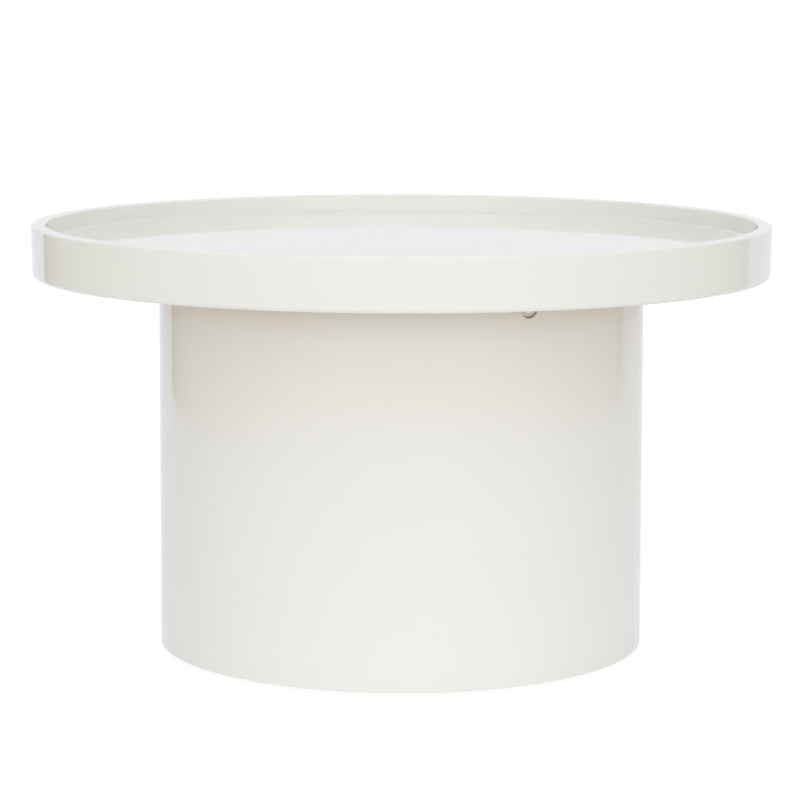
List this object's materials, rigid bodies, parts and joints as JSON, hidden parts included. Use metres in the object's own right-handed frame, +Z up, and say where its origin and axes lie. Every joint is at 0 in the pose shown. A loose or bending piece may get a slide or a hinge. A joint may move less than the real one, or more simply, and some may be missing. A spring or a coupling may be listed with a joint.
{
  "type": "round coffee table",
  "caption": "Round coffee table: a shallow tray top with an upright rim on a plain hollow drum base, gloss ivory lacquer, standing on screw-in levelling glides.",
  "frame": {"origin": "on the floor under the middle of the table, at the level that the glides' soles stand on", "axes": "+Z up through the drum; the picture's front faces -Y, and +X is to its right"},
  "size_m": [0.6997, 0.6998, 0.404],
  "materials": {
    "tray_lacquer": "gloss ivory lacquer on MDF",
    "gloss_panel": "mirror-gloss ivory lacquer on MDF",
    "sealed_board": "clear-sealed MDF",
    "drum_lacquer": "gloss ivory lacquer on bending board",
    "raw_board": "bare MDF, saw-kerfed",
    "plywood": "bare birch plywood",
    "pine": "planed pine",
    "zinc_steel": "bright zinc plating",
    "brass": "turned brass",
    "black_nylon": "moulded nylon",
    "felt": "pressed felt"
  },
  "bodies": {
    "root": {"tray_rim": "tray_lacquer", "tray_panel": "gloss_panel", "tray_base_board": "sealed_board", "tray_spigot": "plywood", "spigot_screws": "zinc_steel", "fixing_inserts": "brass", "fixing_washers": "zinc_steel", "fixing_bolts": "zinc_steel", "drum_skin": "drum_lacquer", "drum_core": "raw_board", "drum_top_ring": "plywood", "drum_middle_ring": "plywood", "drum_bottom_ring": "plywood", "seam_batten": "pine", "top_ring_screws": "zinc_steel", "bottom_ring_screws": "zinc_steel", "glide_tee_nuts": "zinc_steel", "batten_1": "pine", "batten_2": "pine", "batten_3": "pine", "batten_4": "pine", "batten_5": "pine"},
    "front_right_foot": {"front_right_glide_foot": "black_nylon", "front_right_glide_sole": "felt"},
    "front_right_stem": {"front_right_glide_stem": "zinc_steel"},
    "back_right_foot": {"back_right_glide_foot": "black_nylon", "back_right_glide_sole": "felt"},
    "back_right_stem": {"back_right_glide_stem": "zinc_steel"},
    "back_left_foot": {"back_left_glide_foot": "black_nylon", "back_left_glide_sole": "felt"},
    "back_left_stem": {"back_left_glide_stem": "zinc_steel"},
    "front_left_foot": {"front_left_glide_foot": "black_nylon", "front_left_glide_sole": "felt"},
    "front_left_stem": {"front_left_glide_stem": "zinc_steel"}
  },
  "joints": [
    {"name": "front_right_glide_height", "type": "slide", "parent": "root", "child": "front_right_foot", "axis": [0, 0, -1], "range_m": [-0.003, 0.01]},
    {"name": "front_right_stem_turn", "type": "hinge", "parent": "front_right_foot", "child": "front_right_stem", "pos_m": [0.13435, -0.13435, 0.02], "axis": [0, 0, -1], "range_deg": [-864, 2880]},
    {"name": "back_right_glide_height", "type": "slide", "parent": "root", "child": "back_right_foot", "axis": [0, 0, -1], "range_m": [-0.003, 0.01]},
    {"name": "back_right_stem_turn", "type": "hinge", "parent": "back_right_foot", "child": "back_right_stem", "pos_m": [0.13435, 0.13435, 0.02], "axis": [0, 0, -1], "range_deg": [-864, 2880]},
    {"name": "back_left_glide_height", "type": "slide", "parent": "root", "child": "back_left_foot", "axis": [0, 0, -1], "range_m": [-0.003, 0.01]},
    {"name": "back_left_stem_turn", "type": "hinge", "parent": "back_left_foot", "child": "back_left_stem", "pos_m": [-0.13435, 0.13435, 0.02], "axis": [0, 0, -1], "range_deg": [-864, 2880]},
    {"name": "front_left_glide_height", "type": "slide", "parent": "root", "child": "front_left_foot", "axis": [0, 0, -1], "range_m": [-0.003, 0.01]},
    {"name": "front_left_stem_turn", "type": "hinge", "parent": "front_left_foot", "child": "front_left_stem", "pos_m": [-0.13435, -0.13435, 0.02], "axis": [0, 0, -1], "range_deg": [-864, 2880]}
  ],
  "couplings": [
    {"joint": "front_right_stem_turn", "follows": "front_right_glide_height", "rad_per_m": 5026.5},
    {"joint": "back_right_stem_turn", "follows": "back_right_glide_height", "rad_per_m": 5026.5},
    {"joint": "back_left_stem_turn", "follows": "back_left_glide_height", "rad_per_m": 5026.5},
    {"joint": "front_left_stem_turn", "follows": "front_left_glide_height", "rad_per_m": 5026.5}
  ]
}
